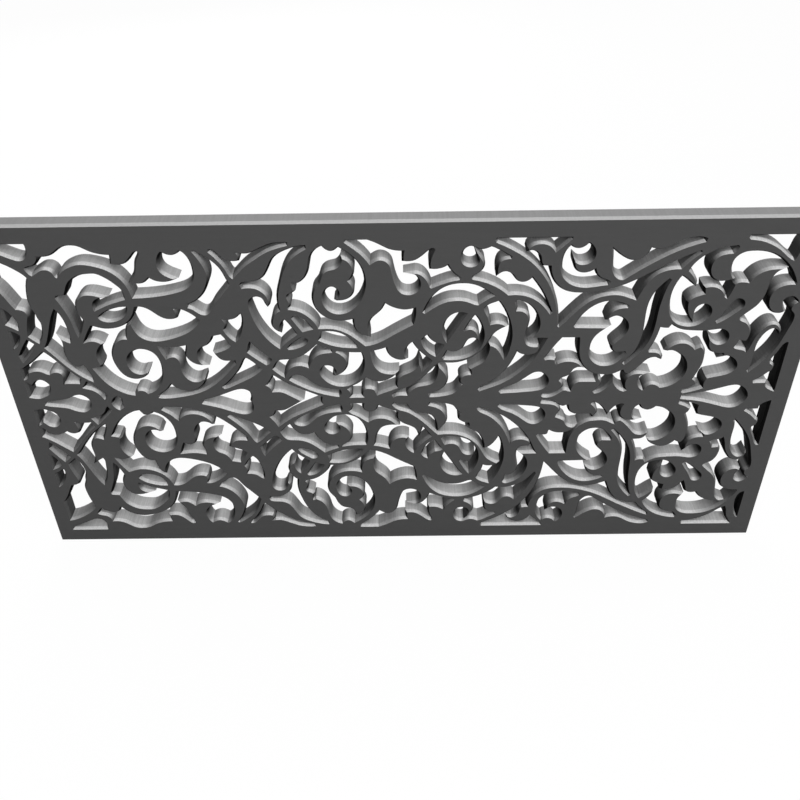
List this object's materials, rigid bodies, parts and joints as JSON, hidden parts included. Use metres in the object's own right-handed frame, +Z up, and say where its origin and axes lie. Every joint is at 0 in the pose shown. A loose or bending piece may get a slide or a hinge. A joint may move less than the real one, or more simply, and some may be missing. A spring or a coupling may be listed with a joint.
{
  "type": "carved fretwork panel",
  "caption": "Flat openwork panel of scrolls and leaves in a narrow border, with splayed edges, for screens, room dividers and partitions.",
  "frame": {"origin": "middle of the bottom edge, halfway through the thickness", "axes": "+X along the width, +Y from the show face to the back, +Z up"},
  "size_m": [1.206, 0.027, 0.606],
  "materials": {
    "board_wood": "dark stained, matt",
    "dowel_wood": "plain beech"
  },
  "bodies": {
    "root": {"top_rail": "board_wood", "bottom_rail": "board_wood", "left_stile": "board_wood", "right_stile": "board_wood", "fretwork_upper": "board_wood", "fretwork_lower": "board_wood", "rail_dowels": "dowel_wood", "stile_dowels": "dowel_wood", "middle_dowels": "dowel_wood", "corner_dowels": "dowel_wood"}
  },
  "joints": []
}
